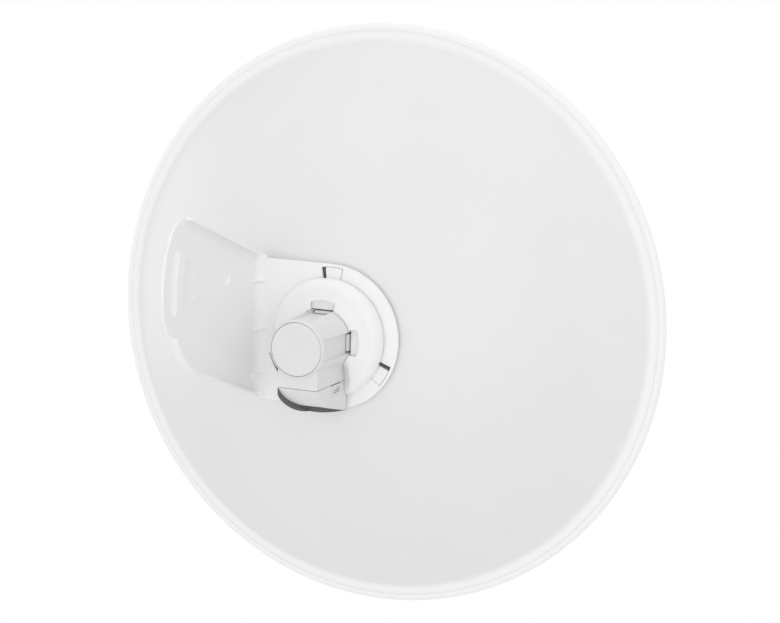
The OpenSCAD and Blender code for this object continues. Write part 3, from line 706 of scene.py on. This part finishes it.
def add_floor():
    """Plain pale floor, well below the object."""
    mesh = bpy.data.meshes.new("floor")
    z = rim_low.z - FLOOR_DROP
    corners = [(x * FLOOR_HALF, y * FLOOR_HALF, z) for x, y in ((-1, -1), (1, -1), (1, 1), (-1, 1))]
    mesh.from_pydata(corners, [], [(0, 1, 2, 3)])
    floor = bpy.data.objects.new("floor", mesh)
    bpy.context.scene.collection.objects.link(floor)
    mesh.materials.append(material("floor_paper", grey(0.85), 0.9, bump=(300, 0.00005, 0.1)))


# ---------------------------------------------------------------- materials

def grey(level):
    return (level, level, level)


def material(name, colour, roughness, metallic=0.0, vary=0.02, scale=30, bump=(1500, 0.00004, 0.2)):
    """Principled material with fine bump and slow changes of colour and roughness, in object coordinates."""
    mat = bpy.data.materials.new(name)
    mat.use_nodes = True
    tree = mat.node_tree
    shader = tree.nodes["Principled BSDF"]
    shader.inputs["Metallic"].default_value = metallic
    place = tree.nodes.new("ShaderNodeTexCoord")

    def noise(size, detail):
        node = tree.nodes.new("ShaderNodeTexNoise")
        node.inputs["Scale"].default_value = size
        node.inputs["Detail"].default_value = detail
        tree.links.new(place.outputs["Object"], node.inputs["Vector"])
        return node

    tint = tree.nodes.new("ShaderNodeValToRGB")
    dark, light = tint.color_ramp.elements
    dark.position = 0.3
    light.position = 0.7
    dark.color = (*[c * (1 - vary) for c in colour], 1)
    light.color = (*[min(c * (1 + vary), 1) for c in colour], 1)
    tree.links.new(noise(scale, 3).outputs["Fac"], tint.inputs["Fac"])
    tree.links.new(tint.outputs["Color"], shader.inputs["Base Color"])
    rough = tree.nodes.new("ShaderNodeMapRange")
    rough.inputs["To Min"].default_value = roughness * 0.9
    rough.inputs["To Max"].default_value = min(roughness * 1.1, 1)
    tree.links.new(noise(scale * 6, 4).outputs["Fac"], rough.inputs["Value"])
    tree.links.new(rough.outputs["Result"], shader.inputs["Roughness"])
    bump_scale, bump_depth, bump_strength = bump
    relief = tree.nodes.new("ShaderNodeBump")
    relief.inputs["Distance"].default_value = bump_depth
    relief.inputs["Strength"].default_value = bump_strength
    tree.links.new(noise(bump_scale, 2).outputs["Fac"], relief.inputs["Height"])
    tree.links.new(relief.outputs["Normal"], shader.inputs["Normal"])
    return mat


def lighten_outward(mat, inner, outer, colour):
    """Painted highlight: fades the paint to a lighter colour between two distances from the dish's axis,
    standing in for the light that the rim catches.
    """
    tree = mat.node_tree
    place = tree.nodes.new("ShaderNodeTexCoord")
    flat = tree.nodes.new("ShaderNodeVectorMath")
    flat.operation = "MULTIPLY"
    flat.inputs[1].default_value = (1, 0, 1)
    distance = tree.nodes.new("ShaderNodeVectorMath")
    distance.operation = "DISTANCE"
    distance.inputs[1].default_value = (AXIS.x, 0, AXIS.z)
    highlight_share = tree.nodes.new("ShaderNodeMapRange")
    highlight_share.inputs["From Min"].default_value = inner * MM
    highlight_share.inputs["From Max"].default_value = outer * MM
    highlight_mix = tree.nodes.new("ShaderNodeMixRGB")
    highlight_mix.inputs["Color2"].default_value = (*colour, 1)
    base = tree.nodes["Principled BSDF"].inputs["Base Color"]
    tree.links.new(base.links[0].from_socket, highlight_mix.inputs["Color1"])
    tree.links.new(place.outputs["Object"], flat.inputs[0])
    tree.links.new(flat.outputs["Vector"], distance.inputs[0])
    tree.links.new(distance.outputs["Value"], highlight_share.inputs["Value"])
    tree.links.new(highlight_share.outputs["Result"], highlight_mix.inputs["Fac"])
    tree.links.new(highlight_mix.outputs["Color"], base)
    return mat


def make_materials():
    """Each of the record's material slots, the bowl's with a painted highlight towards the rim, and a lighter
    copy of the shell plastic for the collar.
    """
    bowl_paint = material("bowl_paint", grey(0.82), 0.42, vary=0.01, scale=12, bump=(700, 0.00005, 0.25))
    fine = (2600, 0.00003, 0.3)
    return {
        # painted highlight: the bowl's paint turns lighter towards the rim, where the rim catches more light
        "painted_bowl": lighten_outward(bowl_paint, BOWL_EDGE_R - 4, BOWL_EDGE_R + 1, grey(0.92)),
        "painted_bracket": material("bracket_paint", grey(0.92), 0.45, vary=0.01, scale=20,
                                    bump=(900, 0.00005, 0.35)),
        "shell_plastic": material("shell_plastic", grey(0.776), 0.4, vary=0.008, scale=40, bump=fine),
        "collar_plastic": material("collar_plastic", grey(0.9), 0.36, vary=0.008, scale=40, bump=fine),
        "rubber": material("rubber", (0.13, 0.13, 0.135), 0.7, vary=0.1, scale=80, bump=(1800, 0.00006, 0.5)),
        "steel": material("steel", (0.62, 0.62, 0.64), 0.3, metallic=1, vary=0.05, scale=60),
        "tinplate": material("tinplate", (0.7, 0.71, 0.72), 0.28, metallic=1, vary=0.05, scale=40),
        "aluminium": material("aluminium", (0.72, 0.72, 0.74), 0.38, metallic=1, vary=0.04, scale=60),
        "circuit_board": material("circuit_board", (0.02, 0.13, 0.06), 0.35, vary=0.25, scale=220),
        "black_plastic": material("black_plastic", (0.03, 0.03, 0.032), 0.5, vary=0.1, scale=80),
        "gold": material("gold", (0.83, 0.62, 0.25), 0.25, metallic=1, vary=0.05, scale=200),
        "clear_plastic": material("clear_plastic", (0.9, 0.93, 0.95), 0.1, vary=0.01, scale=100),
    }


def dress_nodes(materials):
    """Gives every CAD node the material of its slot in the record."""
    for part in frame["record"]["subparts"]:
        mesh = nodes[part["node"]].data
        mesh.materials.clear()
        mesh.materials.append(materials[part["material_slot"]])


add_camera()
add_studio()
MATERIALS = make_materials()
add_floor()
dress_nodes(MATERIALS)
add_bowl()
add_bracket()
add_collar()
add_rear_radio()
add_front()
